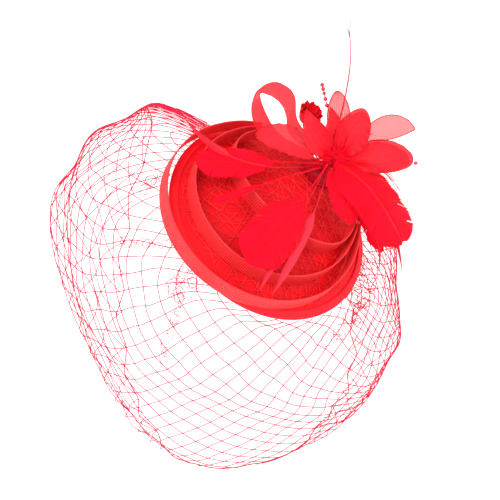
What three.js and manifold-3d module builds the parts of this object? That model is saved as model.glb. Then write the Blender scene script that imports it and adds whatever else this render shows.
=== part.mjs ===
// Fascinator headpiece: a shallow domed disc with three ribbed strip loops, a flower-and-feather
// cluster, a birdcage veil and a sprung hair clip. Millimetres, +Z up as worn. The hat is built in
// its own turned group, whose origin is the flat outer face of the clip's lower arm.
import * as THREE from 'three';
import { mergeVertices } from 'three/addons/utils/BufferGeometryUtils.js';
import ManifoldModule from 'manifold-3d';

const manifold = await ManifoldModule();
manifold.setup();

// ---- driving dimensions -------------------------------------------------------------------
const WORN_ROLL = 28, WORN_PITCH = 14, TRIM_TURN = -33; // degrees, how the disc sits on the head
const DISC_R = 80, CROWN_Z = 14, RIM_Z = -5, DISC_T = 1.8; // dome radius, top height, rim, thickness
const STRIP_H = 14, STRIP_T = 1.0; // ribbed strip, height and thickness
const NET_T = 0.6; // thickness of a net layer
const HUB = { x: -2, y: 62, r: 5.6 }; // where the stems meet, and the ring they start on
const STALK = 0.65; // half-width of a stalk
const CLIP_W = 8, PLATE_T = 0.8, PIVOT_X = 8, PIVOT_Z = 3.6, PIN_R = 0.7;

const RED = 0xe4001f, DEEP_RED = 0xc40014, LIGHT_RED = 0xf2303c, NET_RED = 0xd81e46, STEEL = 0xb9bcc2;
const rad = THREE.MathUtils.degToRad;
const V = (x, y, z) => new THREE.Vector3(x, y, z);

// ---- small helpers ------------------------------------------------------------------------
function part(name, geometry, color, roughness = 0.85, metalness = 0) {
  const mesh = new THREE.Mesh(geometry, new THREE.MeshStandardMaterial({ color, roughness, metalness }));
  mesh.name = name;
  return mesh;
}

// Top of the dome at a distance from its axis.
const domeTop = (r) => CROWN_Z - (CROWN_Z - RIM_Z) * (r / DISC_R) ** 2;

// Moves each vertex up by a height that depends on where it stands in plan.
function lift(geometry, height) {
  const p = geometry.attributes.position;
  for (let i = 0; i < p.count; i++) p.setZ(i, p.getZ(i) + height(p.getX(i), p.getY(i)));
  geometry.computeVertexNormals();
  return geometry;
}

// A solid of revolution about Z from [radius, height] points listed with the solid on their left.
function turned(points, segments = 48) {
  const geometry = new THREE.LatheGeometry(points.map(([r, z]) => new THREE.Vector2(r, z)), segments);
  return geometry.rotateX(Math.PI / 2);
}

// A closed ring of revolution from an open list of corner points.
const ring = (points, segments) => turned([...points, points[0]], segments);

// Closed skin through rings of equal point counts, capped at both ends.
function skin(rings) {
  const n = rings[0].length, position = [], index = [];
  for (const loop of rings) for (const p of loop) position.push(p.x, p.y, p.z);
  for (let i = 0; i + 1 < rings.length; i++) {
    for (let j = 0; j < n; j++) {
      const a = i * n + j, b = i * n + (j + 1) % n;
      index.push(a, b, a + n, b, b + n, a + n);
    }
  }
  const last = (rings.length - 1) * n;
  for (let j = 1; j + 1 < n; j++) {
    index.push(0, j + 1, j, last, last + j, last + j + 1);
  }
  const geometry = new THREE.BufferGeometry();
  geometry.setAttribute('position', new THREE.Float32BufferAttribute(position, 3));
  geometry.setIndex(index);
  geometry.computeVertexNormals();
  return geometry;
}

// Smooth curve through knots of equal-length value lists; the first value is the parameter.
function through(knots, t) {
  let i = knots.findIndex((k) => k[0] >= t) - 1;
  i = Math.max(0, i);
  const [a, b] = [knots[i], knots[i + 1]], h = b[0] - a[0], u = (t - a[0]) / h;
  const slope = (k, c) => {
    const lo = knots[Math.max(0, k - 1)], hi = knots[Math.min(knots.length - 1, k + 1)];
    return (hi[c] - lo[c]) / (hi[0] - lo[0]);
  };
  return a.slice(1).map((_, c) => {
    const p = a[c + 1], q = b[c + 1], m = slope(i, c + 1) * h, n = slope(i + 1, c + 1) * h;
    return p + u * (m + u * (3 * (q - p) - 2 * m - n + u * (2 * (p - q) + m + n)));
  });
}

// The union of overlapping solids, as one solid.
function joined(geometries) {
  const solids = geometries.map((g) => {
    const plain = new THREE.BufferGeometry().setAttribute('position', g.attributes.position);
    if (g.index) plain.setIndex(g.index);
    const welded = mergeVertices(plain, 1e-4);
    return new manifold.Manifold(new manifold.Mesh({ numProp: 3,
      vertProperties: new Float32Array(welded.attributes.position.array),
      triVerts: new Uint32Array(welded.index.array) }));
  });
  const mesh = solids.reduce((a, b) => a.add(b)).getMesh();
  const geometry = new THREE.BufferGeometry();
  geometry.setAttribute('position', new THREE.Float32BufferAttribute(mesh.vertProperties, 3));
  geometry.setIndex([...mesh.triVerts]);
  geometry.computeVertexNormals();
  return geometry;
}

// ---- disc ---------------------------------------------------------------------------------
function domeShell(rIn, rOut, above, thick) {
  const radii = Array.from({ length: 13 }, (_, i) => rIn + (rOut - rIn) * i / 12);
  const low = radii.map((r) => [r, domeTop(r) + above]);
  const high = radii.map((r) => [r, domeTop(r) + above + thick]).reverse();
  return rIn === 0 ? turned([...low, ...high]) : ring([...low, ...high]);
}

function disc() {
  const edge = DISC_R - 2.6, wrap = 0.6, gap = 0.35;
  const upper = (r) => domeTop(r) + gap, lower = (r) => domeTop(r) - DISC_T - gap;
  const inner = DISC_R - 5.5, mouth = DISC_R - 0.9;
  return [
    part('disc_dome', domeShell(0, edge, -DISC_T, DISC_T), RED),
    part('disc_lining', domeShell(0, 58, -DISC_T - 1.0, 0.7), DEEP_RED, 0.95),
    part('rim_wire', new THREE.TorusGeometry(DISC_R - 1.65, 0.5, 8, 48)
      .translate(0, 0, domeTop(DISC_R - 1.65) - DISC_T / 2), STEEL, 0.4, 0.9),
    part('rim_binding', ring([
      [inner, lower(inner)], [inner, lower(inner) - wrap], [DISC_R, lower(DISC_R) - wrap],
      [DISC_R, upper(DISC_R) + wrap], [inner, upper(inner) + wrap], [inner, upper(inner)],
      [mouth, upper(mouth)], [mouth, lower(mouth)],
    ]), LIGHT_RED, 0.8),
    part('disc_net', domeShell(2, 73.5, 0.35, NET_T), NET_RED, 0.7),
  ];
}

// ---- ribbed strip loops -------------------------------------------------------------------
// Height of a strip's lower edge: it rests on the disc, dips outside the rim and rises at its ends.
function standHeight(x, y) {
  const r = Math.hypot(x, y);
  const outside = Math.max(0, r - DISC_R);
  return domeTop(Math.min(r, DISC_R)) + 1.4 - 0.4 * outside + 3 * THREE.MathUtils.smoothstep(y, 10, 44);
}

// It follows part of an ellipse, which opens or closes by the given shares towards its two ends.
function stripLoop(name, cx, cy, rx, ry, from, to, flares) {
  const steps = 48, outer = [], inner = [];
  for (let i = 0; i <= steps; i++) {
    const u = i / steps, a = rad(from + (to - from) * u);
    const k = 1 + flares[u < 0.5 ? 0 : 1] * Math.abs(2 * u - 1) ** 4;
    const p = new THREE.Vector2(rx * k * Math.cos(a), ry * k * Math.sin(a));
    const out = new THREE.Vector2(Math.cos(a) / rx, Math.sin(a) / ry).normalize();
    outer.push(p.clone().addScaledVector(out, STRIP_T / 2).add(new THREE.Vector2(cx, cy)));
    inner.push(p.clone().addScaledVector(out, -STRIP_T / 2).add(new THREE.Vector2(cx, cy)));
  }
  const outline = new THREE.Shape([...outer, ...inner.reverse()]);
  const geometry = new THREE.ExtrudeGeometry(outline, { depth: STRIP_H, bevelEnabled: false });
  return part(name, lift(geometry, standHeight), LIGHT_RED, 0.6);
}

function stripLoops() {
  return [
    stripLoop('strip_loop_outer', -8, -9, 75, 75, 43, -226, [0, -0.07]),
    stripLoop('strip_loop_middle', -7, -2, 62, 62, 39, -221, [0.09, 0]),
    stripLoop('strip_loop_inner', -6, 18, 53, 39, 30, -211, [0.07, -0.04]),
  ];
}

// ---- flower and feathers ------------------------------------------------------------------
// Half-width along a blade, as a share of its widest, with the blade starting at `bare`.
const OUTLINES = {
  feather: (u) => Math.min(1, 1.9 * u ** 0.7) * Math.min(1, 2.9 * (1 - u) ** 0.62),
  broad: (u) => Math.min(1, 2.3 * u ** 0.65 + 0.1) * Math.min(1, 3.8 * (1 - u) ** 0.55),
  round: (u) => Math.sin(Math.PI * u ** 0.95) ** 0.52,
  petal: (u) => Math.sin(Math.PI * Math.min(1, u) ** 0.85) ** 0.75,
  pointed: (u) => Math.sin(Math.PI * u ** 0.7) ** 0.9 * (1 - 0.35 * u),
  biot: (u) => 1 - 0.8 * u,
};

// A stalk that widens into a blade, along a curve from the hub to the tip.
function blade(name, angle, z, via, tip, width, { bare = 0.3, outline = 'feather', face = V(0, 0, 1),
  thick = 0.5, color = RED, roughness = 0.8 } = {}) {
  const start = V(HUB.x + HUB.r * Math.cos(rad(angle)), HUB.y + HUB.r * Math.sin(rad(angle)), z);
  const curve = new THREE.QuadraticBezierCurve3(start, V(...via), V(...tip));
  const steps = 14, rings = [];
  for (let i = 0; i <= steps; i++) {
    const t = i / steps, at = curve.getPoint(t), along = curve.getTangent(t);
    const side = along.clone().cross(face).normalize(), up = side.clone().cross(along).normalize();
    const u = Math.max(0, (t - bare) / (1 - bare));
    const half = t > bare ? Math.max(STALK, width / 2 * OUTLINES[outline](Math.min(u, 0.985))) : STALK;
    const h = t > bare ? thick : STALK;
    rings.push([
      at.clone().addScaledVector(side, half), at.clone().addScaledVector(up, -h),
      at.clone().addScaledVector(side, -half), at.clone().addScaledVector(up, h),
    ]);
  }
  return part(name, skin(rings), color, roughness);
}

const TO_FRONT = V(0, -0.65, 0.76);

function feathers() {
  const biot = { outline: 'biot' }, turned = { outline: 'biot', face: TO_FRONT };
  return [
    blade('feather_left', -122, 18, [-33, 0, 34], [-64, -39, 24], 24, { bare: 0.4 }),
    blade('feather_left_biot', -140, 14, [-35, -43, 42], [-91, -29, 36], 5, { ...turned, bare: 0.6 }),
    blade('feather_thin', -105, 15, [-16, -2, 36], [-33, -56, 28], 5, { bare: 0.62 }),
    blade('feather_centre', -86, 22, [9, -8, 42], [15, -70, 27], 36, { bare: 0.4 }),
    blade('centre_biot_a', -72, 16, [14, -12, 40], [34, -74, 22], 8, biot),
    blade('centre_biot_b', -58, 18.5, [24, -6, 40], [42, -67, 22], 9, biot),
    blade('feather_front', -42, 20, [18, 46, 36], [43, 27, 27], 25, { bare: 0.05 }),
    blade('feather_right', -6, 26, [30, 60, 45], [80, 54, 27], 44, { bare: 0.12, outline: 'broad' }),
    blade('feather_under', -24, 12, [35, 52, 31], [74, 41, 17], 16, { bare: 0.3 }),
    blade('right_biot_a', -30, 16, [45, 55, 46], [82, 31, 12], 4, turned),
    blade('right_biot_b', -14, 17, [50, 62, 46], [94, 46, 14], 4, turned),
    blade('feather_loose', 16, 24, [22, 76, 52], [56, 72, 41], 12, { bare: 0.35 }),
    blade('feather_tall', 176, 30, [-40, 84, 90], [-60, 71, 115], 5, { bare: 0.3 }),
  ];
}

function petals() {
  const ovalTip = V(40, 98, 49), beadRun = V(24, 14, -1);
  const cloth = { outline: 'round', bare: 0.25, face: TO_FRONT, thick: 0.4, roughness: 0.6 };
  const pointed = { ...cloth, outline: 'pointed' };
  return [
    bead('petal_bead', ovalTip.clone().addScaledVector(beadRun, 0.09), beadRun, 1.6),
    blade('petal_left', -145, 15, [-26, 46, 40.4], [-50, 12, 34], 27, { ...cloth, face: V(0, 0, 1) }),
    blade('leaf_front', 196, 25, [-25, 48, 42], [-41.5, 59, 43], 22, pointed),
    blade('leaf_back', 154, 24, [-14, 66, 46], [-31, 72, 50], 18, pointed),
    blade('petal_sheer_top', 120, 27, [-18, 76, 44], [-36, 78, 60], 16, cloth),
    blade('petal_round_top', 78, 27, [-3, 70, 45], [-13, 85, 61], 25, cloth),
    blade('petal_sheer_right', 62, 25, [0, 94, 60], [23, 114, 58], 17, { ...cloth, bare: 0.4 }),
    blade('petal_oval_right', 40, 22, [17, 80, 48], ovalTip.toArray(), 25, cloth),
  ];
}

// The sheer ribbon's back edge and front edge, from one foot round the loop to the other.
const RIBBON = [
  [0, -15, 51, 13, -13, 53, 17],
  [1, -46, 30, 19, -42, 42, 22],
  [2, -63, 28, 27, -58, 34, 34],
  [3, -73, 35.5, 34, -70.5, 32, 45],
  [4, -75.3, 44.4, 38, -68, 38.4, 44],
  [5, -72.8, 56, 40, -62, 46, 40],
  [6, -64.9, 62.8, 40, -55.8, 48.3, 38],
  [7, -54.8, 64.1, 38, -49, 49, 34],
  [8, -40, 61, 26, -37, 51, 21],
  [9, -14, 64, 20, -14, 57, 16],
];

function ribbonLoop() {
  const across = (s, t) => {
    const edges = through(RIBBON, Math.min(9, Math.max(0, 4.5 * (s + 1))));
    return V(...edges.slice(0, 3)).lerp(V(...edges.slice(3)), t);
  };
  return part('ribbon_loop', sheet(across, 44, 4, 0.8), RED, 0.6);
}

function rose() {
  const at = V(-38.8, 73.7, 27.5), group = new THREE.Group();
  const cup = (r) => ring([[2.2, -0.2 - r], [r + 0.8, 0.6 - 0.5 * r], [r + 1.1, 4], [r + 0.4, 4],
    [r, 1 - 0.5 * r], [2.2, 0.6 - r]], 24);
  group.add(
    part('rose_core', turned([[0, -4], [1.6, -4], [3.6, 0], [3.2, 3], [0, 4.5]], 20), DEEP_RED),
    part('rose_petals_inner', cup(4.4), DEEP_RED),
    part('rose_petals_middle', cup(6.4), DEEP_RED),
    part('rose_petals_outer', cup(8.4), RED),
  );
  group.position.copy(at);
  return [group, blade('rose_stem', 150, 22, [at.x, at.y, 4], [at.x, at.y, at.z - 4.4], 0,
    { bare: 1, face: V(0, 1, 0) })];
}

// A bead with a bore, on a point of its wire.
function bead(name, at, along, r) {
  const half = r * 0.82, bore = 0.6;
  const profile = [[bore, -half]];
  for (let i = 0; i <= 8; i++) {
    const a = rad(-55 + 110 * i / 8);
    profile.push([r * Math.cos(a), r * Math.sin(a)]);
  }
  profile.push([bore, half]);
  const mesh = part(name, ring(profile, 16), DEEP_RED, 0.25);
  mesh.quaternion.setFromUnitVectors(V(0, 0, 1), along.clone().normalize());
  mesh.position.copy(at);
  return mesh;
}

function beadSpray() {
  const start = V(-5, 69.5, 25), bend = V(-30, 76, 42), top = V(-47, 75, 56.5);
  const curve = new THREE.CatmullRomCurve3([start, V(-14, 76, 33), bend, top]);
  const corners = [[0.3, 0], [0, 0.3], [-0.3, 0], [0, -0.3]];
  const square = new THREE.Shape(corners.map((p) => new THREE.Vector2(...p)));
  const wire = new THREE.ExtrudeGeometry(square, { steps: 24, extrudePath: curve, bevelEnabled: false });
  const meshes = [part('bead_wire', wire, RED, 0.5)];
  [0.995, 0.93, 0.865, 0.78, 0.68].forEach((u, i) => {
    meshes.push(bead(`bead_${i + 1}`, curve.getPointAt(u), curve.getTangentAt(u), i === 2 ? 1.5 : 1.7));
  });
  return meshes;
}

function mountAndStems() {
  const mount = new THREE.CylinderGeometry(14, 14, 1.6, 32).rotateX(Math.PI / 2);
  mount.translate(HUB.x, HUB.y - 3, 2.4);
  const foot = domeTop(HUB.y - 4) + 3.6, top = 30;
  return [
    part('flower_mount', lift(mount, (x, y) => domeTop(Math.hypot(x, y))), DEEP_RED, 0.95),
    part('stem_bundle', new THREE.CylinderGeometry(3.4, 3.9, top - foot, 20).rotateX(Math.PI / 2)
      .translate(HUB.x, HUB.y, (top + foot) / 2), RED),
    part('binding_thread', ring([[4.2, 8], [4.9, 8], [4.9, 11], [4.2, 11]], 24).translate(HUB.x, HUB.y, 0),
      DEEP_RED, 0.7),
  ];
}

// ---- hair clip ----------------------------------------------------------------------------
// A side view in X and Z, pushed out across Y.
function sideways(points, width, holes = []) {
  const outline = points.map(([x, z]) => new THREE.Vector2(x, z));
  if (THREE.ShapeUtils.isClockWise(outline)) outline.reverse();
  const shape = new THREE.Shape(outline);
  for (const [x, z, r] of holes) {
    const hole = new THREE.Path();
    hole.absarc(x, z, r, 0, 2 * Math.PI, true);
    shape.holes.push(hole);
  }
  const geometry = new THREE.ExtrudeGeometry(shape,
    { depth: width, bevelEnabled: false, curveSegments: 8 });
  return geometry.translate(0, 0, -width / 2).rotateX(Math.PI / 2);
}

function hairClip() {
  const ear = (y, reach, away) => sideways([
    [PIVOT_X - 2.2, reach], [PIVOT_X - 2.2, PIVOT_Z], [PIVOT_X - 1.6, PIVOT_Z + 1.6 * away],
    [PIVOT_X, PIVOT_Z + 2.1 * away], [PIVOT_X + 1.6, PIVOT_Z + 1.6 * away],
    [PIVOT_X + 2.2, PIVOT_Z], [PIVOT_X + 2.2, reach],
  ], 0.8, [[PIVOT_X, PIVOT_Z, PIN_R + 0.3]]).translate(0, y, 0);
  const archOutline = [
    [-34, 1.2], [-32.6, 2.1], [-31.2, 1.25], [-29.8, 2.2], [-28.4, 1.3], [-27, 2.4], [-10, 5], [0, 6.6],
    [24, 6.8], [24, 7.6], [-0.5, 7.4], [-10.5, 5.8], [-27, 3.3], [-34, 2.7],
  ];
  const arch = joined([sideways(archOutline, CLIP_W), ear(-3, 7, -1), ear(3, 7, -1)]);
  const plate = new THREE.BoxGeometry(58, CLIP_W + 1.2, PLATE_T).translate(-5, 0, PLATE_T / 2);
  const flat = joined([plate, ear(-4, 0.4, 1), ear(4, 0.4, 1)]);

  const head = [1.3, 5.2, 4.7];
  const pin = turned([[0, -head[1]], [head[0], -head[1]], [head[0], -head[2]], [PIN_R, -head[2]],
    [PIN_R, head[2]], [head[0], head[2]], [head[0], head[1]], [0, head[1]]], 20);
  pin.rotateX(Math.PI / 2).translate(PIVOT_X, 0, PIVOT_Z);

  const coilR = 1.55, turns = 4, wireR = 0.26, coil = [V(-2, -2.1, 5.5), V(4, -2.1, 5.3)];
  for (let i = 0; i <= turns * 10 + 5; i++) {
    const a = i / 10 * 2 * Math.PI, y = -2.1 + 4.2 * i / (turns * 10 + 5);
    coil.push(V(PIVOT_X + coilR * Math.sin(a), y, PIVOT_Z + coilR * Math.cos(a)));
  }
  coil.push(V(4, 2.1, 1.9), V(-2, 2.1, 1.6));
  const round = new THREE.Shape().absarc(0, 0, wireR, 0, 2 * Math.PI);
  const spring = new THREE.ExtrudeGeometry(round, { steps: 150, curveSegments: 3, bevelEnabled: false,
    extrudePath: new THREE.CatmullRomCurve3(coil, false, 'centripetal') });

  const pad = new THREE.BoxGeometry(52, 14, 1, 8, 2, 1);
  const p = pad.attributes.position;
  for (let i = 0; i < p.count; i++) {
    const r = Math.hypot(p.getX(i), p.getY(i));
    p.setZ(i, p.getZ(i) > 0 ? domeTop(r) - DISC_T - 1.35 : 7.95);
  }
  return [
    part('clip_pad', pad, DEEP_RED, 0.95), part('clip_arched_arm', arch, STEEL, 0.35, 0.9),
    part('clip_flat_arm', flat, STEEL, 0.35, 0.9), part('clip_pin', pin, STEEL, 0.35, 0.9),
    part('clip_spring', spring, STEEL, 0.35, 0.9),
  ];
}

// ---- veil ---------------------------------------------------------------------------------
// Cross-sections from the disc's rim down to the free hem: where along the veil, centre, half-width,
// half-depth, roll, pitch, and how far round each end reaches from the front (lengths mm, angles deg).
const VEIL_LEVELS = [
  [0.00, -2, 1, -10.2, 76, 76, 28, 14, 150],
  [0.18, -15, 6, -2, 118, 99, 25, 12, 134],
  [0.42, -28, 2, -44, 140, 116, 24, 6, 148],
  [0.72, -27, -8, -108, 121, 102, 11, -2, 132],
  [0.90, -25, -34, -158, 90, 72, -1, -9, 106],
  [1.00, -25, -50, -182, 60, 46, -8, -12, 84],
];

function veilPoint(s, t) {
  const [cx, cy, cz, a, b, roll, pitch, reach] = through(VEIL_LEVELS, t);
  const turn = rad(s * reach);
  return V(a * Math.sin(turn), -b * Math.cos(turn), 0)
    .applyEuler(new THREE.Euler(rad(pitch), rad(roll), 0, 'YXZ')).add(V(cx, cy, cz));
}

// A sheet with a thickness, from a surface over s in -1..1 and t in 0..1.
function sheet(surface, across, along, thick) {
  const d = 1e-3, rings = [];
  for (let i = 0; i <= across; i++) {
    const s = -1 + 2 * i / across, front = [], back = [];
    for (let j = 0; j <= along; j++) {
      const t = j / along, t0 = Math.max(0, t - d), t1 = Math.min(1, t + d);
      const out = surface(s + d, t).sub(surface(s - d, t)).cross(surface(s, t1).sub(surface(s, t0)));
      out.normalize();
      front.push(surface(s, t).addScaledVector(out, thick / 2));
      back.push(surface(s, t).addScaledVector(out, -thick / 2));
    }
    rings.push([...back, ...front.reverse()]);
  }
  return capless(rings);
}

// The skin of a sheet, whose two end rings are closed by strips instead of fans.
function capless(rings) {
  const n = rings[0].length, geometry = skin(rings), index = [...geometry.index.array];
  index.length = (rings.length - 1) * n * 6;
  const last = (rings.length - 1) * n;
  for (let j = 0; j < n / 2 - 1; j++) {
    const k = n - 1 - j;
    index.push(j, k, j + 1, k, k - 1, j + 1);
    index.push(last + j, last + j + 1, last + k, last + k, last + j + 1, last + k - 1);
  }
  geometry.setIndex(index);
  geometry.computeVertexNormals();
  return geometry;
}

// ---- assembly -----------------------------------------------------------------------------
const hat = new THREE.Group();
hat.name = 'hat';
hat.add(...disc(), ...stripLoops(), ...mountAndStems(), ...feathers(), ...petals(), ribbonLoop(), ...rose(),
  ...beadSpray(), ...hairClip());
hat.rotation.set(rad(WORN_PITCH), rad(WORN_ROLL), rad(TRIM_TURN), 'YXZ');

const fascinator = new THREE.Group();
fascinator.name = 'fascinator';
fascinator.add(hat, part('veil_net', sheet(veilPoint, 44, 16, 0.8), NET_RED, 0.7));

export default fascinator;
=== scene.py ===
"""Looks for the fascinator headpiece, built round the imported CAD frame. Lengths are millimetres in the
hat's own turned frame until worn() takes them to metres in the row frame."""

import math

import bpy
import numpy as np
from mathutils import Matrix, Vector


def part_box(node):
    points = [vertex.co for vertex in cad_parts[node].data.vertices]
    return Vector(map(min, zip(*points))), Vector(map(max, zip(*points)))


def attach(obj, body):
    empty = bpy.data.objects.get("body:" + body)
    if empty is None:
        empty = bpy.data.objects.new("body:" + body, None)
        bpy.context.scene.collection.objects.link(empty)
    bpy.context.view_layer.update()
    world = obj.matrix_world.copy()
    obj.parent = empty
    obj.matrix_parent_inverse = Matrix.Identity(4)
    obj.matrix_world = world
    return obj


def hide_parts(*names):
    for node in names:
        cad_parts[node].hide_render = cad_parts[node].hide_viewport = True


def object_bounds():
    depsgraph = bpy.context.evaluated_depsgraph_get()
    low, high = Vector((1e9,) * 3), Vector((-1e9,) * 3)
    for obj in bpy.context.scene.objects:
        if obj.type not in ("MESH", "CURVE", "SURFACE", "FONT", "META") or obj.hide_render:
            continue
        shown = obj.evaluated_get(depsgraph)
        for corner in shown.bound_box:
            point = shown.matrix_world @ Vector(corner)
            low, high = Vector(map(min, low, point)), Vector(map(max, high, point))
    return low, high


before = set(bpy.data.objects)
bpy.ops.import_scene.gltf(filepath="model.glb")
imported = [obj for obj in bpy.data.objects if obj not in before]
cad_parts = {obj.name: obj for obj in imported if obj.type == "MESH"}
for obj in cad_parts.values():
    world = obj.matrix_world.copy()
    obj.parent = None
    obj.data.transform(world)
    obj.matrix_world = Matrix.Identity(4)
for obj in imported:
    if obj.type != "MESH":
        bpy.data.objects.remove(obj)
cad_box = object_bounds()
scene = bpy.context.scene
scene.view_settings.view_transform = "Standard"

# ---- camera ------------------------------------------------------------------------------
CAMERA_MM = (-16.08, -759.08, 675.09)
CAMERA_ELEVATION = 43
camera_data = bpy.data.cameras.new("camera")
camera_data.lens, camera_data.sensor_width = 100, 36
camera_data.clip_end = 20
camera = bpy.data.objects.new("camera", camera_data)
camera.location = [c / 1000 for c in CAMERA_MM]
camera.rotation_euler = (math.radians(90 - CAMERA_ELEVATION), 0, 0)
scene.collection.objects.link(camera)
scene.camera = camera

# ---- frames, curves and meshes -----------------------------------------------------------
ROLL, PITCH, TURN = (math.radians(a) for a in (28, 14, -33))
DISC_R, CROWN_Z, RIM_Z, DISC_T = 80, 14, -5, 1.8
HUB = (-2, 62, 5.6)  # x, y and the radius that the stalks start on
TO_FRONT = (0, -0.65, 0.76)
ACROSS, UPWARD = np.array([0.68, 0.58, 0.46]), np.array([-0.73, 0.50, 0.46])
TAU = 2 * math.pi


def turn_y(a):
    return np.array([[math.cos(a), 0, math.sin(a)], [0, 1, 0], [-math.sin(a), 0, math.cos(a)]])


def turn_x(a):
    return np.array([[1, 0, 0], [0, math.cos(a), -math.sin(a)], [0, math.sin(a), math.cos(a)]])


def turn_z(a):
    return np.array([[math.cos(a), -math.sin(a), 0], [math.sin(a), math.cos(a), 0], [0, 0, 1]])


HAT = turn_y(ROLL) @ turn_x(PITCH) @ turn_z(TURN)


def worn(points):
    return np.asarray(points, float) @ HAT.T / 1000


def row(points):
    return np.asarray(points, float) / 1000


def unit(v):
    v = np.asarray(v, float)
    return v / np.maximum(np.linalg.norm(v, axis=-1, keepdims=True), 1e-12)


def dome(r):
    return CROWN_Z - (CROWN_Z - RIM_Z) * (np.asarray(r) / DISC_R) ** 2


def smoothstep(x, lo, hi):
    u = np.clip((np.asarray(x, float) - lo) / (hi - lo), 0, 1)
    return u * u * (3 - 2 * u)


class Build:
    """Gathers vertices and faces of one piece."""

    def __init__(self):
        self.verts, self.tints, self.faces, self.count = [], [], [], 0

    def add(self, verts, faces, tint=1.0):
        self.verts.append(np.asarray(verts, float))
        self.tints.append(np.broadcast_to(np.asarray(tint, float).ravel(), (len(verts),)))
        self.faces.extend([tuple(int(i) + self.count for i in f) for f in faces])
        self.count += len(verts)

    def grid(self, points, wrap_u=False, wrap_v=False, tint=1.0):
        """A sheet of quads through points[u, v]."""
        nu, nv = points.shape[:2]
        faces = []
        for i in range(nu if wrap_u else nu - 1):
            for j in range(nv if wrap_v else nv - 1):
                a, b = i * nv + j, i * nv + (j + 1) % nv
                c, d = ((i + 1) % nu) * nv + (j + 1) % nv, ((i + 1) % nu) * nv + j
                faces.append((a, d, c, b))
        self.add(points.reshape(-1, 3), faces, tint)

    def tube(self, path, radius, sides=6, caps=True, ref=(0.3, 0.2, 1.0), tint=1.0):
        """A round rod along a path; ref is any direction that the path never follows."""
        path = np.asarray(path, float)
        n = len(path)
        radius = np.broadcast_to(np.asarray(radius, float), (n,))
        along = unit(np.gradient(path, axis=0))
        side = unit(np.cross(along, np.asarray(ref, float) + 1e-4))
        up = np.cross(side, along)
        a = np.arange(sides) * TAU / sides
        ring = (
            path[:, None]
            + radius[:, None, None]
            * (side[:, None] * np.cos(a)[None, :, None] + up[:, None] * np.sin(a)[None, :, None])
        )
        faces = []
        for i in range(n - 1):
            for j in range(sides):
                k = (j + 1) % sides
                faces.append((i * sides + j, i * sides + k, (i + 1) * sides + k, (i + 1) * sides + j))
        if caps:
            faces.append(tuple(range(sides))[::-1])
            faces.append(tuple((n - 1) * sides + j for j in range(sides)))
        self.add(ring.reshape(-1, 3), faces, tint)

    def ribbon(self, path, half, across, tint=1.0):
        """A flat strip along a path; across gives the direction of its width at each point."""
        path, across = np.asarray(path, float), unit(across)
        half = np.broadcast_to(np.asarray(half, float), (len(path),))[:, None]
        pts = np.stack([path - across * half, path + across * half], 1)
        faces = [(2 * i, 2 * i + 1, 2 * i + 3, 2 * i + 2) for i in range(len(path) - 1)]
        self.add(pts.reshape(-1, 3), faces, tint)

    def blob(self, at, r, along=(0, 0, 1), stretch=1.0, rings=4, sides=6, tint=1.0):
        """A faceted ball, stretched along one direction."""
        along = unit(np.asarray(along, float))
        side = unit(np.cross(along, (0.31, 0.52, 0.8)))
        up = np.cross(along, side)
        pts = [np.asarray(at, float) - along * r * stretch]
        for i in range(1, rings):
            v = math.pi * i / rings
            for j in range(sides):
                a = TAU * j / sides
                pts.append(
                    at
                    - along * r * stretch * math.cos(v)
                    + (side * math.cos(a) + up * math.sin(a)) * r * math.sin(v)
                )
        pts.append(np.asarray(at, float) + along * r * stretch)
        last, faces = len(pts) - 1, []
        for j in range(sides):
            k = (j + 1) % sides
            faces.append((0, 1 + k, 1 + j))
            faces.append((last, last - sides + j, last - sides + k))
            for i in range(rings - 2):
                b = 1 + i * sides
                faces.append((b + j, b + k, b + sides + k, b + sides + j))
        self.add(pts, faces, tint)

    def piece(self, name, material, nodes=(), slot=None, to=worn, body="hat"):
        """Makes the object, which rides on a body and stands for the CAD nodes."""
        mesh = bpy.data.meshes.new(name)
        mesh.from_pydata(to(np.concatenate(self.verts)).tolist(), [], self.faces)
        shade = np.repeat(np.concatenate(self.tints)[:, None], 4, 1)
        shade[:, 3] = 1
        mesh.attributes.new("tint", "FLOAT_COLOR", "POINT").data.foreach_set("color", shade.ravel())
        mesh.validate()
        mesh.polygons.foreach_set("use_smooth", [True] * len(mesh.polygons))
        mesh.materials.append(material)
        mesh.update()
        obj = bpy.data.objects.new(name, mesh)
        scene.collection.objects.link(obj)
        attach(obj, body)
        if nodes:
            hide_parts(*([nodes] if isinstance(nodes, str) else nodes))
        return obj


def through(knots, t):
    """Smooth curve through knots whose first value is the parameter, at each t."""
    knots, t = np.asarray(knots, float), np.asarray(t, float)
    k, v = knots[:, 0], knots[:, 1:]
    slope = np.empty_like(v)
    slope[1:-1] = (v[2:] - v[:-2]) / (k[2:] - k[:-2])[:, None]
    slope[0], slope[-1] = (v[1] - v[0]) / (k[1] - k[0]), (v[-1] - v[-2]) / (k[-1] - k[-2])
    i = np.clip(np.searchsorted(k, t) - 1, 0, len(k) - 2)
    h = (k[i + 1] - k[i])[..., None]
    u = (t[..., None] - k[i][..., None]) / h
    p, q, m, n = v[i], v[i + 1], slope[i] * h, slope[i + 1] * h
    return p + u * (m + u * (3 * (q - p) - 2 * m - n + u * (2 * (p - q) + m + n)))


def bezier(a, b, c, t):
    t = np.asarray(t, float)[..., None]
    return (1 - t) ** 2 * np.asarray(a) + 2 * t * (1 - t) * np.asarray(b) + t * t * np.asarray(c)


def bezier_slope(a, b, c, t):
    t = np.asarray(t, float)[..., None]
    a, b, c = (np.asarray(p, float) for p in (a, b, c))
    return unit(2 * (1 - t) * (b - a) + 2 * t * (c - b))


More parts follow.
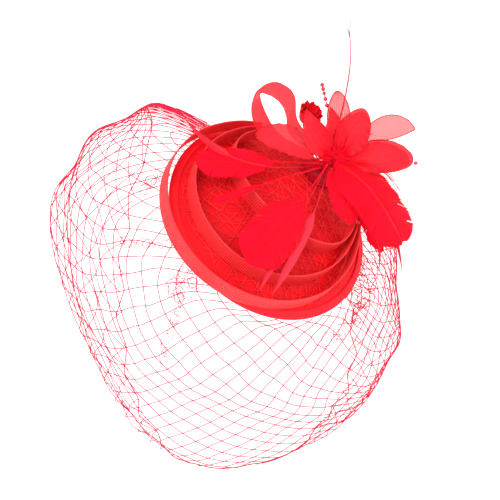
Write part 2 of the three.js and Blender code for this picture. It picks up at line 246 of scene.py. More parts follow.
# ---- materials ---------------------------------------------------------------------------
def material(name, color, dark=None, rough=0.7, grain=900, grain_depth=0.25, patch=60, weave=0,
             weave_depth=0.3, sheen=0.0, spec=0.2, alpha=1.0, metal=0.0, coat=0.0, tinted=True):
    """A procedural finish: patchy colour, a fine grain, and a woven bump where weave gives its scale."""
    m = bpy.data.materials.new(name)
    m.use_nodes = True
    nodes, links = m.node_tree.nodes, m.node_tree.links
    shader = nodes["Principled BSDF"]
    coord = nodes.new("ShaderNodeTexCoord")

    def noise(scale, detail=3):
        n = nodes.new("ShaderNodeTexNoise")
        n.inputs["Scale"].default_value = scale
        n.inputs["Detail"].default_value = detail
        links.new(coord.outputs["Object"], n.inputs["Vector"])
        return n.outputs["Fac"]

    ramp = nodes.new("ShaderNodeValToRGB")
    ramp.color_ramp.elements[0].position, ramp.color_ramp.elements[1].position = 0.3, 0.7
    ramp.color_ramp.elements[0].color = (*(dark or [c * 0.8 for c in color]), 1)
    ramp.color_ramp.elements[1].color = (*color, 1)
    links.new(noise(patch), ramp.inputs["Fac"])
    tint = nodes.new("ShaderNodeAttribute")
    tint.attribute_name = "tint"
    mixed = nodes.new("ShaderNodeMix")
    mixed.data_type, mixed.blend_type = "RGBA", "MULTIPLY"
    mixed.inputs[0].default_value = 1.0 if tinted else 0.0
    links.new(ramp.outputs["Color"], mixed.inputs[6])
    links.new(tint.outputs["Color"], mixed.inputs[7])
    links.new(mixed.outputs[2], shader.inputs["Base Color"])
    height = noise(grain, 2)
    depth = grain_depth
    if weave:
        turned = nodes.new("ShaderNodeMapping")
        turned.inputs["Rotation"].default_value = (PITCH, ROLL, 0.3)
        links.new(coord.outputs["Object"], turned.inputs["Vector"])
        waves = []
        for direction in ("X", "Y"):
            w = nodes.new("ShaderNodeTexWave")
            w.bands_direction = direction
            w.inputs["Scale"].default_value = weave
            w.inputs["Distortion"].default_value = 0.4
            links.new(turned.outputs["Vector"], w.inputs["Vector"])
            waves.append(w.outputs["Fac"])
        mix = nodes.new("ShaderNodeMath")
        mix.operation = "MULTIPLY"
        links.new(waves[0], mix.inputs[0])
        links.new(waves[1], mix.inputs[1])
        height, depth = mix.outputs[0], weave_depth
    bump = nodes.new("ShaderNodeBump")
    bump.inputs["Strength"].default_value = depth
    bump.inputs["Distance"].default_value = 0.0003
    links.new(height, bump.inputs["Height"])
    links.new(bump.outputs["Normal"], shader.inputs["Normal"])
    spread = nodes.new("ShaderNodeMapRange")
    spread.inputs["To Min"].default_value = max(0.02, rough - 0.08)
    spread.inputs["To Max"].default_value = min(1.0, rough + 0.08)
    links.new(noise(grain / 3), spread.inputs["Value"])
    links.new(spread.outputs["Result"], shader.inputs["Roughness"])
    shader.inputs["Sheen Weight"].default_value = sheen
    shader.inputs["Sheen Roughness"].default_value = 0.4
    shader.inputs["Sheen Tint"].default_value = (1.0, 0.25, 0.25, 1)
    shader.inputs["Specular IOR Level"].default_value = spec
    shader.inputs["Alpha"].default_value = alpha
    shader.inputs["Metallic"].default_value = metal
    shader.inputs["Coat Weight"].default_value = coat
    return m


DISH = material("dish_satin", (0.88, 0.0, 0.008), (0.76, 0.0, 0.006), 0.55, weave=900, sheen=0.1)
LINING = material("felt", (0.62, 0.0, 0.02), rough=0.95, grain=1500, grain_depth=0.9, spec=0.05, sheen=0.3)
RIM = material("rim_satin", (1.0, 0.008, 0.022), rough=0.5, weave=700, sheen=0.15)
STRIP = material("ribbed_strip", (1.0, 0.036, 0.045), (1.0, 0.026, 0.034), 0.5, grain=2500, sheen=0.25,
                 spec=0.3)
NET_ON_DISH = material("dish_net", (1.0, 0.03, 0.04), rough=0.6, grain=3000)
VEIL = material("veil_net", (0.80, 0.008, 0.06), (0.62, 0.004, 0.05), 0.6, grain=3000)
PLUME = material("feather", (1.0, 0.0, 0.022), (0.90, 0.0, 0.012), 0.75, patch=90, grain=4000, sheen=0.3,
                 spec=0.1)
BIOT = material("biot_film", (1.0, 0.02, 0.05), (0.95, 0.01, 0.04), 0.45, grain=2500, spec=0.3, alpha=0.8)
QUILL = material("quill", (0.86, 0.0, 0.02), rough=0.45, grain=2500, spec=0.3)
ORGANZA = material("organza", (1.0, 0.012, 0.03), (0.96, 0.005, 0.02), 0.5, weave=1500, sheen=0.4,
                   alpha=0.97)
SHEER = material("sheer_organza", (0.96, 0.09, 0.10), (0.90, 0.05, 0.06), 0.4, weave=1500, sheen=0.4,
                 alpha=0.82)
ROSE = material("rose_cloth", (1.0, 0.0, 0.014), (0.90, 0.0, 0.010), 0.7, weave=1200, sheen=0.3)
TAPE = material("stem_tape", (0.82, 0.0, 0.02), rough=0.7, grain=2000, grain_depth=0.6)
THREAD = material("thread", (0.72, 0.0, 0.03), rough=0.6, grain=5000, grain_depth=0.8)
BEAD = material("bead_gloss", (0.66, 0.0, 0.03), (0.5, 0.0, 0.02), 0.12, spec=0.6, coat=0.6, grain=500,
                grain_depth=0.05)
STEEL = material("plated_steel", (0.74, 0.75, 0.78), (0.62, 0.63, 0.66), 0.28, grain=1800,
                 grain_depth=0.12, patch=200, metal=1.0, spec=0.5, tinted=False)


# ---- disc --------------------------------------------------------------------------------
def turned_shell(profile, segments, ripple=None):
    """Points[u, v] of a closed profile of (r, z) swept round the disc's axis."""
    r, z = np.asarray(profile, float).T
    a = np.arange(segments) * TAU / segments
    rr = np.broadcast_to(r, (segments, len(r))).copy()
    zz = np.broadcast_to(z, (segments, len(z))).copy()
    if ripple:
        ripple(a[:, None], rr, zz)
    return np.stack([rr * np.cos(a)[:, None], rr * np.sin(a)[:, None], zz], -1)


def make_disc():
    edge, n = DISC_R - 2.6, 34
    radii = edge * np.linspace(0.012, 1, n)
    top = [(r, dome(r)) for r in radii]
    low = [(r, dome(r) - DISC_T) for r in radii[::-1]]

    def tension(a, rr, zz):
        pull = smoothstep(rr, 40, 76) * (1 - smoothstep(rr, 76.5, 77.4))
        zz += 0.10 * pull * np.sin(46 * a + 3 * np.sin(5 * a)) + 0.05 * np.sin(9 * a + rr / 7) * pull

    build = Build()
    build.grid(turned_shell(top + low, 240, tension), wrap_u=True, wrap_v=True)
    build.piece("dish_shell", DISH, "disc_dome", "dish_cloth")

    def pinked(a, rr, _):
        rr += np.where(rr > 55, 0.9 * (np.abs((a * 90 / TAU) % 1 - 0.5) * 4 - 1) - 0.9, 0)

    radii = np.append(58 * np.linspace(0.02, 0.93, 16), [57.0, 58.0])
    build = Build()
    build.grid(
        turned_shell(
            [(r, dome(r) - DISC_T - 0.3) for r in radii] + [(r, dome(r) - DISC_T - 1.0) for r in radii[::-1]],
            360, pinked),
        wrap_u=True, wrap_v=True)
    build.piece("dish_lining", LINING, "disc_lining", "felt_lining")

    inner, mouth = DISC_R - 5.5, DISC_R - 0.9
    up, down = lambda r: dome(r) + 0.35, lambda r: dome(r) - DISC_T - 0.35
    profile = [(inner, down(inner)), (inner - 0.2, down(inner) - 0.3), (inner + 0.1, down(inner) - 0.6)]
    profile += [(r, down(r) - 0.6) for r in (76, 78)]
    middle = (up(79.3) + down(79.3)) / 2
    reach = up(79.3) + 0.6 - middle
    profile += [(79.25 + 0.75 * math.cos(b), middle + reach * math.sin(b))
                for b in np.radians([-80, -55, -25, 0, 25, 55, 80])]
    profile += [(r, up(r) + 0.6) for r in (78, 76)]
    profile += [(inner + 0.1, up(inner) + 0.6), (inner - 0.2, up(inner) + 0.3), (inner, up(inner))]
    profile += [(mouth, up(mouth)), (mouth, down(mouth))]

    def gathers(a, rr, zz):
        outer = smoothstep(rr, 74.2, 76) * (1 - smoothstep(rr, 79.0, 79.6) * 0.6)
        zz += 0.05 * outer * np.sin(150 * a + 2 * np.sin(7 * a)) * np.sign(zz - middle)

    build = Build()
    build.grid(turned_shell(profile, 300, gathers), wrap_u=True, wrap_v=True)
    build.piece("rim_ribbon", RIM, "rim_binding", "rim_ribbon")

    build = Build()
    count = 110
    for i in range(count):
        a = TAU * (i + np.linspace(0.15, 0.7, 5)) / count
        r = inner + 1.2
        z = down(r) - 0.75 - 0.12 * np.sin(np.linspace(0, math.pi, 5))
        build.tube(np.stack([r * np.cos(a), r * np.sin(a), z], 1), 0.16, 5)
    build.piece("rim_stitches", THREAD, (), "thread")


# ---- net ---------------------------------------------------------------------------------
class Net:
    """Diamond net laid on a surface. place(x, y) takes flat net coordinates to points, with nan where
    there is no net. width and height are a cell's diagonals."""

    def __init__(self, place, width, height, span, strand, knot):
        self.place, self.w, self.h, self.span = place, width, height, span
        self.strand, self.knot = strand, knot

    def build(self, build, per_side=4, sides=5):
        (x0, x1), (y0, y1) = self.span
        ks = [self.corner(k, n) for k in range(int(2 * x0 / self.w) - 2, int(2 * x1 / self.w) + 3)
              for n in range(int(2 * y0 / self.h) - 2, int(2 * y1 / self.h) + 3) if (k + n) % 2 == 0]
        starts = np.array(ks)
        u = np.linspace(0, 1, per_side + 1)
        for slant in (1, -1):
            x = starts[:, :1] + slant * self.w / 2 * u
            y = starts[:, 1:] + self.h / 2 * u
            points = self.place(x.ravel(), y.ravel()).reshape(*x.shape, 3)
            for p in points:
                good = ~np.isnan(p[:, 0])
                if good.sum() >= 3:
                    build.tube(p[good], self.strand, sides, caps=False)
        at = self.place(starts[:, 0], starts[:, 1])
        for p in at[~np.isnan(at[:, 0])]:
            build.blob(p, self.knot, rings=3, sides=5)

    def corner(self, k, n):
        return (k * self.w / 2, n * self.h / 2)


def wander(x, y, seed, size):
    """A smooth wobble of about +-1 over the plane."""
    r = np.random.RandomState(seed)
    total = 0
    for _ in range(5):
        a, ph, f = r.uniform(0, TAU), r.uniform(0, TAU), r.uniform(0.7, 1.5) / size
        total = total + np.sin(f * (x * math.cos(a) + y * math.sin(a)) * TAU + ph)
    return total / 2.6


def make_disc_net():
    build = Build()
    layers = ((0.35, 20, 13, 0.5, 11), (1.25, 17, 12, 0.8, 23), (-0.75, 24, 13, 1.1, 37))
    for turn, w, h, lift, seed in layers:
        def place(x, y, turn=turn, lift=lift, seed=seed):
            x, y = x + 4.5 * wander(x, y, seed, 70), y + 4.5 * wander(x, y, seed + 1, 60)
            px = x * math.cos(turn) - y * math.sin(turn)
            py = x * math.sin(turn) + y * math.cos(turn)
            r = np.hypot(px, py)
            z = dome(r) + lift + 0.25 + 0.2 * wander(px, py, seed + 2, 25)
            out = r > 72.5 - 2 * wander(px, py, seed + 3, 40)
            return np.where(out[:, None], np.nan, np.stack([px, py, z], 1))
        Net(place, w, h, ((-84, 84), (-84, 84)), 0.27, 0.42).build(build)
    obj = build.piece("dish_net", NET_ON_DISH, "disc_net", "fine_net")
    return obj


# at each share of the way down: x, y, z, half-width, half-depth, roll, pitch, and how far each end goes
VEIL_LEVELS = [
    [0.00, -2, 1, -10.2, 76, 76, 28, 14, 150],
    [0.18, -15, 6, -2, 118, 99, 25, 12, 134],
    [0.42, -28, 2, -44, 140, 116, 24, 6, 148],
    [0.72, -27, -8, -108, 121, 102, 11, -2, 132],
    [0.90, -25, -34, -158, 90, 72, -1, -9, 106],
    [1.00, -25, -50, -182, 60, 46, -8, -12, 84],
]


VEIL_CELL, VEIL_STRAND, VEIL_KNOT = (20.2, 15.8), 0.33, 0.5  # a cell's diagonals, then two radii


def veil_point(s, t):
    c = through(VEIL_LEVELS, t)
    roll, pitch, turn = np.radians(c[..., 5]), np.radians(c[..., 6]), np.radians(s * c[..., 7])
    x, y = c[..., 3] * np.sin(turn), -c[..., 4] * np.cos(turn)
    y, z = y * np.cos(pitch), y * np.sin(pitch)
    x, z = x * np.cos(roll) + z * np.sin(roll), -x * np.sin(roll) + z * np.cos(roll)
    return np.stack([x, y, z], -1) + c[..., :3]


class Veil:
    """Takes flat net coordinates to the veil: x along the free edge from the middle of the hem, y up
    from the free edge towards the rim that the net is gathered on."""

    def __init__(self):
        self.t = np.linspace(0, 1, 101)
        s = np.linspace(-1, 1, 161)
        grid = veil_point(*np.meshgrid(s, self.t, indexing="ij"))
        self.half = np.linalg.norm(np.diff(grid, axis=0), axis=2).sum(0) / 2
        steps = np.linalg.norm(np.diff(grid[60:101], axis=1), axis=2).mean(0)
        self.depth = np.concatenate([[0], np.cumsum(steps)])
        hem = np.stack([np.linspace(0, self.half[-1], 20), np.full(20, self.depth[-1])], 1)
        side = np.stack([self.half, self.depth], 1)[::-1][1:]
        self.edge = np.concatenate([hem, side])
        self.run = np.concatenate([[0], np.cumsum(np.linalg.norm(np.diff(self.edge, axis=0), axis=1))])
        real = np.linspace(0, self.run[-1], 400)
        stretch = 1 + 0.30 * smoothstep(real, 70, 200)
        self.real, self.flat = real, np.concatenate([[0], np.cumsum(np.diff(real) / stretch[1:])])

    def place(self, x, y):
        """A crossing of the net, whose rows lie askew across the front."""
        x, y = x + 1.2 * wander(x, y, 5, 60), y + 1.0 * wander(x, y, 6, 50)
        return self.lay(x, y + 0.32 * x * np.exp(-(x / 180) ** 2))

    def lay(self, x, y):
        run = np.interp(np.abs(x), self.flat, self.real)
        share = np.clip(run / self.run[-1], 0, 1)
        foot = self.half[0] * (0.4 * share + 0.6 * (1 - (1 - share) ** 2.6))
        ends = np.stack([np.interp(run, self.run, self.edge[:, k]) for k in (0, 1)], 1)
        inward = np.stack([foot, 0 * foot], 1) - ends
        long = np.linalg.norm(inward, axis=1)
        climb = y * (1 - 0.20 * smoothstep(run, 70, 200)) / np.maximum(long, 1e-6)
        flat = ends + inward * np.minimum(climb, 1)[:, None]
        t = np.interp(flat[:, 1], self.depth, self.t)
        s = np.sign(x) * flat[:, 0] / np.interp(t, self.t, self.half)
        bad = (np.abs(x) > self.flat[-1]) | (y < -0.01) | (climb > 1)
        return np.where(bad[:, None], np.nan, self.fold(np.clip(s, -1, 1), t))

    @staticmethod
    def fold(s, t):
        """The sheet with soft folds and dents, strongest at its sides."""
        p = veil_point(s, t)
        e = 1e-3
        n = unit(np.cross(veil_point(s + e, t) - veil_point(s - e, t),
                          veil_point(s, np.minimum(t + e, 1)) - veil_point(s, np.maximum(t - e, 0))))
        side = smoothstep(np.abs(s), 0.25, 0.7)
        bulge = np.sin(np.pi * np.clip(t, 0, 1)) ** 0.6
        wave = (0.8 + 2.2 * side) * np.sin(9 * s * np.pi + 2.2 * np.sin(5 * t)) * bulge
        return p + n * (wave + 1.6 * bulge * wander(s * 200, t * 200, 9, 70))[..., None]


def curly(build, path, radius, turns, seed, strand=0.22):
    """A frayed cut edge: a thread that loops round and round along a path."""
    r = np.random.RandomState(seed)
    path = np.asarray(path, float)
    n = turns * 12
    u = np.linspace(0, len(path) - 1, n)
    i = np.minimum(u.astype(int), len(path) - 2)
    base = path[i] + (u - i)[:, None] * (path[i + 1] - path[i])
    a = np.linspace(0, TAU * turns, n) + r.uniform(0, TAU)
    size = radius * (0.75 + 0.35 * np.sin(np.linspace(0, 17, n) + seed))
    axes = unit(r.normal(size=(3, 3)))
    wob = size[:, None] * (np.cos(a)[:, None] * np.array([1, -0.2, 0.1])
                           + np.sin(a)[:, None] * np.array([0.1, 0.6, 0.75])
                           + 0.25 * np.sin(2.3 * a)[:, None] * axes[0])
    build.tube(base + wob, strand, 5)


def fray(build):
    """The net's cut ends, curled up where they are caught under the rim."""
    for i, (angles, r_in, r_out, top, low, turns, size) in enumerate((
            ((-93, -90), 72, 104, -8, -14, 8, 7.0), ((-88, -80), 104, 146, -12, -22, 10, 3.6),
            ((-99, -94), 80, 98, -18, -22, 6, 6.5), ((-152, -141), 84, 98, -10, -14, 9, 4.2),
            ((-114, -119), 82, 121, -14, -18, 11, 3.2), ((38, 30), 84, 98, -14, -24, 9, 6.0),
            ((26, 4), 95, 99, -16, -22, 12, 6.0), ((34, 14), 86, 97, -24, -28, 11, 5.5),
            ((10, -12), 94, 97, -20, -26, 9, 5.0))):
        a = np.radians(np.linspace(*angles, 30))
        u = np.linspace(0, 1, 30)
        r = r_in + (r_out - r_in) * u + 1.5 * np.sin(u * 9 + i)
        z = top + (low - top) * u + 2.0 * np.sin(u * 13 + 2 * i)
        path = worn(np.stack([r * np.cos(a), r * np.sin(a), z], 1)) * 1000
        curly(build, path, size, turns, 40 + i)


def make_veil():
    veil = Veil()
    build = Build()
    long = veil.flat[-1]
    Net(veil.place, *VEIL_CELL, ((-long, long), (-60, 330)), VEIL_STRAND, VEIL_KNOT).build(build)
    x = np.linspace(-0.9 * long, 0.9 * long, 6 * int(2 * long / VEIL_CELL[0]) + 1)
    zig = 4.6 * np.arcsin(np.sin(x * math.pi / VEIL_CELL[0])) / math.pi + 2.4
    line = veil.lay(x, zig)
    build.tube(line, 0.42, 6, ref=(0.4, -0.6, 0.6), tint=0.8)
    for p in line[::3]:
        build.blob(p, 0.72, rings=4, sides=6, tint=0.7)
    fray(build)
    obj = build.piece("veil", VEIL, "veil_net", "veil_net", to=row)


# ---- ribbed strips -----------------------------------------------------------------------
RIB_PITCH = 1.5


def stand_height(x, y):
    r = np.hypot(x, y)
    outside = np.maximum(0, r - DISC_R)
    return dome(np.minimum(r, DISC_R)) + 1.4 - 0.4 * outside + 3 * smoothstep(y, 10, 44)


def strip_loop(name, node, cx, cy, rx, ry, start, end, flares):
    """A ribbed strip on edge: its cross-section runs up the outside and down the inside."""
    length = math.radians(abs(end - start)) * (rx + ry) / 2
    ribs = int(length / RIB_PITCH)
    per_rib = 6
    n = ribs * per_rib + 1
    u = np.linspace(0, 1, n)
    a = np.radians(start + (end - start) * u)
    k = 1 + np.where(u < 0.5, *flares) * np.abs(2 * u - 1) ** 4
    centre = np.stack([cx + rx * k * np.cos(a), cy + ry * k * np.sin(a)], 1)
    out = unit(np.stack([np.cos(a) / rx, np.sin(a) / ry], 1))
    rib = np.abs(np.sin(np.pi * np.arange(n) / per_rib)) ** 0.5
    heights = np.array([0, 0.25, 1.0, 1.3, 4.2, 7, 9.8, 12.7, 13.0, 13.75, 14.0])
    body = np.where((heights > 1.1) & (heights < 12.9), 1.0, 0.0)
    half = np.where((heights == 0) | (heights == 14), 0.15, 0.42)
    rows = []
    for sign, order in ((1, range(len(heights))), (-1, range(len(heights) - 1, -1, -1))):
        for j in order:
            off = sign * (half[j] + body[j] * (0.34 * rib - 0.24))
            xy = centre + out * off[:, None]
            base = stand_height(centre[:, 0], centre[:, 1])
            rows.append(np.column_stack([xy, base + heights[j]]))
    points = np.stack(rows, 1)
    build = Build()
    # The tint darkens the grooves between the ribs down to 0.42: painted shade in the grooves.
    build.grid(points, wrap_v=True, tint=np.repeat((0.42 + 0.58 * rib)[:, None], points.shape[1], 1))
    m = points.shape[1]
    faces = []
    for end_row, flip in ((0, False), (n - 1, True)):
        for j in range(m // 2 - 1):
            q = (end_row * m + j, end_row * m + j + 1, end_row * m + m - 2 - j, end_row * m + m - 1 - j)
            faces.append(q[::-1] if flip else q)
    build.faces.extend(faces)
    build.piece(name, STRIP, node, "ribbed_strip")


# ---- feathers ----------------------------------------------------------------------------
def outline(kind, u):
    """Half-width of a feather or petal, from 0 to 1, at share u of its length; the last is pointed."""
    u = np.clip(u, 0, 1)
    if kind == "feather":
        return np.minimum(1, 1.9 * u ** 0.7) * np.minimum(1, 2.9 * (1 - u) ** 0.62)
    if kind == "broad":
        return np.minimum(1, 2.3 * u ** 0.65 + 0.1) * np.minimum(1, 3.8 * (1 - u) ** 0.55)
    if kind == "round":
        return np.sin(np.pi * u ** 0.95) ** 0.52
    if kind == "petal":
        return np.sin(np.pi * u ** 0.85) ** 0.75
    return np.sin(np.pi * u ** 0.7) ** 0.9 * (1 - 0.35 * u)


class Blade:
    """The curve that a stalk and its blade follow, with the blade's own side and up directions."""

    def __init__(self, angle, z, via, tip, face=(0, 0, 1)):
        a = math.radians(angle)
        self.knots = ((HUB[0] + HUB[2] * math.cos(a), HUB[1] + HUB[2] * math.sin(a), z), via, tip)
        self.face = np.asarray(face, float)
        t = np.linspace(0, 1, 60)
        self.length = np.linalg.norm(np.diff(self.at(t), axis=0), axis=1).sum()

    def at(self, t):
        return bezier(*self.knots, t)

    def axes(self, t):
        along = bezier_slope(*self.knots, t)
        side = unit(np.cross(along, self.face))
        return along, side, np.cross(side, along)

    def point(self, t, x, lift):
        """Points at share t of the curve, x to the side and lift above it."""
        along, side, up = self.axes(np.clip(t, 0, 1))
        over = np.maximum(0, t - 1)[..., None] * self.length
        return self.at(np.clip(t, 0, 1)) + along * over + side * x[..., None] + up * lift[..., None]


def vane(build, blade, bare, width, seed, kind="feather", cup=0.10, fuzz=1.0, splits=3):
    """Both sides of a feather: rows of barbs side by side, sweeping from the shaft to the outline, with
    loose ends along the edge."""
    r = np.random.RandomState(seed)
    reach = blade.length * (1 - bare)
    rows = int(reach * 2.3)
    q = np.array([0, 0.12, 0.26, 0.4, 0.54, 0.68, 0.8, 0.9, 0.97, 1.0])
    for side in (-1, 1):
        root = np.linspace(0.0, 0.985, rows)
        lead = 0.62 * width / reach * (0.55 + 0.45 * root) * np.minimum(1, 0.35 + 3 * root)
        end = root + lead * (1 - root) ** 0.75
        drift = 0.012 * np.cumsum(r.normal(0, 1, rows)) / math.sqrt(rows)
        out = width / 2 * outline(kind, end + drift) * (1 + r.normal(0, 0.012, rows))
        gap = set(r.choice(np.arange(rows // 6, rows - 8), splits, replace=False))
        spread = np.zeros(rows)
        for g in gap:
            fade = np.exp(-np.abs(np.arange(rows) - g - 0.5) / 5.0)
            spread += np.where(np.arange(rows) <= g, -1, 1) * fade * 0.35 / reach
        u = root[:, None] + (end - root)[:, None] * q ** 1.45 + spread[:, None] * q ** 3
        x = out[:, None] * q ** 0.92
        ridge = 0.09 * (np.arange(rows) % 2 * 2 - 1)[:, None] * np.minimum(1, 4 * q)
        wave = 0.5 * np.sin(np.arange(rows) * 0.16 + seed + side)[:, None] * q ** 2
        lift = -cup * x ** 2 / (width / 2) + ridge + wave
        points = blade.point(bare + (1 - bare) * u, side * x, lift)
        shade = 0.90 + 0.10 * r.rand(rows)[:, None]
        shade = shade * (1 - 0.16 * np.exp(-((q - 0.02) / 0.06) ** 2))
        _, _, up = blade.axes(np.clip(bare + (1 - bare) * u, 0, 1))
        start = 0
        for stop in [*sorted(gap), rows - 1]:
            top = points[start:stop + 1]
            low = top - 0.14 * up[start:stop + 1]
            both = np.concatenate([top, low[:, ::-1]], 1)
            tone = np.concatenate([shade[start:stop + 1], shade[start:stop + 1, ::-1]], 1)
            build.grid(both, wrap_v=True, tint=tone)
            if start:
                patch = points[start - 1:start + 1, :6] - 0.05 * up[start - 1:start + 1, :6]
                build.grid(patch, tint=0.9)
            start = stop + 1
        for i in range(rows):
            tip, way = points[i, -1], unit(points[i, -1] - points[i, -3])
            for _ in range(2 if r.rand() < 0.5 * fuzz else 1):
                bend = r.normal(0, 0.35, 3)
                long = fuzz * r.uniform(0.5, 2.4)
                g = np.linspace(0, 1, 4)[:, None]
                path = tip - way * 0.8 + long * (g * 1.3 * way + g ** 2 * bend)
                across = np.cross(way, up[i, -1]) + 0.3 * bend
                build.ribbon(path, 0.15 * (1 - 0.75 * g[:, 0]), across, tint=0.95)
    fluff(build, blade, bare, width, r)
    if kind == "broad":
        down(build, r)


def fluff(build, blade, bare, width, r):
    """Short soft down where the vane begins."""
    for _ in range(int(6 + width * 1.6)):
        t = np.array([max(0.02, bare + r.uniform(-0.10, 0.10))])
        a = r.uniform(0, TAU)
        along, side, up = (v[0] for v in blade.axes(t))
        out = side * math.cos(a) + up * math.sin(a) * 0.5
        reach = r.uniform(0.12, 0.34) * width
        u = np.linspace(0, 1, 6)[:, None]
        bend = r.normal(0, 0.18, 3)
        p = blade.at(t)[0] + reach * (u * (out + 0.9 * along) + u ** 2 * bend)
        build.ribbon(p, 0.20 - 0.15 * u[:, 0], np.cross(unit(np.gradient(p, axis=0)), up))


def down(build, r):
    """The soft barbs at the foot of the broad feather, spread round the tied stalks."""
    for _ in range(300):
        a = math.radians(r.uniform(-80, 200))
        out = math.cos(a) * ACROSS + math.sin(a) * UPWARD + r.uniform(-0.1, 0.4) * np.array(TO_FRONT)
        g = np.linspace(0, 1, 8)[:, None]
        path = np.array([HUB[0], HUB[1], r.uniform(16, 30)]) + 2.5 * out
        path = path + r.uniform(8, 18) * (g * out + g ** 2 * r.normal(0, 0.2, 3))
        build.ribbon(path, 0.42 * (1 - 0.8 * g[:, 0]), np.cross(out, TO_FRONT), tint=r.uniform(0.8, 1))


def shaft(build, blade, thick=0.55, end=0.97):
    t = np.linspace(0, end, 30)
    build.tube(blade.at(t), thick * (1 - t) ** 0.8 + 0.10, 6)


FEATHERS = [
    # name, angle, z, via, tip, width, bare, kind, seed
    ("feather_left", -122, 18, (-33, 0, 34), (-64, -39, 24), 24, 0.40, "feather", 3),
    ("feather_thin", -105, 15, (-16, -2, 36), (-33, -56, 28), 5, 0.62, "feather", 4),
    ("feather_centre", -86, 22, (9, -8, 42), (15, -70, 27), 36, 0.40, "feather", 5),
    ("feather_front", -42, 20, (18, 46, 36), (43, 27, 27), 25, 0.0, "feather", 6),
    ("feather_right", -6, 26, (30, 60, 45), (80, 54, 27), 44, 0.0, "broad", 7),
    ("feather_under", -24, 12, (35, 52, 31), (74, 41, 17), 16, 0.30, "feather", 8),
]
BIOTS = [
    ("feather_left_biot", -140, 14, (-35, -43, 42), (-91, -29, 36), 6, 0.6),
    ("centre_biot_a", -72, 16, (14, -12, 40), (34, -74, 22), 8, 0.42),
    ("centre_biot_b", -58, 18.5, (24, -6, 40), (42, -67, 22), 9, 0.42),
    ("right_biot_a", -30, 16, (45, 55, 46), (82, 31, 12), 6.5, 0.3),
    ("right_biot_b", -14, 17, (50, 62, 46), (94, 46, 14), 6.5, 0.3),
]


def make_feathers():
    for name, angle, z, via, tip, width, bare, kind, seed in FEATHERS:
        blade = Blade(angle, z, via, tip)
        build = Build()
        shaft(build, blade)
        vane(build, blade, bare, width, seed, kind, cup=0.16 if width > 20 else 0.1,
             fuzz=1.6 if kind == "broad" else 0.6, splits=2 if width > 20 else 1)
        build.piece("plume_" + name[8:], PLUME, name, "feather")
    make_loose_feather()
    for i, (name, angle, z, via, tip, width, bare) in enumerate(BIOTS):
        wide = name.startswith("centre")
        blade = Blade(angle, z, via, tip, (0, 0, 1) if wide else TO_FRONT)
        build = Build()
        t = np.linspace(0, 1, 48)
        u = np.clip((t - bare) / (1 - bare), 0, 1)
        taper = 1 - 0.95 * u ** (2.8 if wide else 1.5)
        half = np.where(t > bare, width / 2 * taper * np.minimum(1, 6 * u + 0.3), 0.5)
        x = np.linspace(-1, 1, 7)
        lift = -0.35 * np.abs(x)[None, :] ** 1.5 * half[:, None] + 0.10 * np.cos(x * 9)[None, :]
        rows = [blade.point(t, x[j] * half, lift[:, j]) for j in range(len(x))]
        top = np.stack(rows, 1)
        _, _, up = blade.axes(t)
        tone = np.broadcast_to(1 - 0.22 * np.abs(x) ** 2 + 0.08 * np.cos(9 * x), half.shape + x.shape)
        build.grid(np.concatenate([top, (top - up[:, None] * 0.22)[:, ::-1]], 1), wrap_v=True,
                   tint=np.concatenate([tone, tone[:, ::-1]], 1))
        build.piece("biot_%d" % (i + 1), BIOT if wide else QUILL, name, "biot")

    make_tall_feather()


def make_loose_feather():
    """Long soft filaments along the top of the right-hand feather."""
    blade = Blade(16, 24, (22, 76, 52), (56, 72, 41))
    build = Build()
    shaft(build, blade, 0.4)
    r = np.random.RandomState(9)
    for i in range(46):
        t = np.array([r.uniform(0.12, 0.95)])
        along, side, up = (v[0] for v in blade.axes(t))
        u = np.linspace(0, 1, 9)[:, None]
        out = unit(side * r.choice((-1, 1)) + up * r.normal(0, 0.4))
        p = blade.at(t)[0] + r.uniform(9, 20) * (u * along + 0.36 * u ** 1.3 * out - 0.25 * u ** 2 * up)
        build.ribbon(p, 0.17 - 0.10 * u[:, 0], np.cross(along, out), tint=0.75)
    build.piece("plume_loose", PLUME, "feather_loose", "feather")


def make_tall_feather():
    blade = Blade(176, 30, (-40, 84, 90), (-60, 71, 115))
    build = Build()
    shaft(build, blade, 0.62, 1.0)
    r = np.random.RandomState(12)
    for i in range(26):
        t = np.array([0.3 + 0.5 * i / 26])
        along, side, up = (v[0] for v in blade.axes(t))
        u = np.linspace(0, 1, 6)[:, None]
        out = unit(side * r.normal(0, 1) + up * r.normal(0, 0.6))
        p = blade.at(t)[0] + r.uniform(4, 9) * (u * along + 0.35 * u ** 1.5 * out)
        build.ribbon(p, 0.13 - 0.08 * u[:, 0], np.cross(along, out))
    for lean in (0.55, -0.3):
        t = np.array([0.86])
        along, side, up = (v[0] for v in blade.axes(t))
        u = np.linspace(0, 1, 12)[:, None]
        p = blade.at(t)[0] + 13 * (u * along + lean * u ** 1.4 * side)
        build.tube(p, 0.42 - 0.3 * u[:, 0], 6)
    build.piece("plume_tall", QUILL, "feather_tall", "feather")


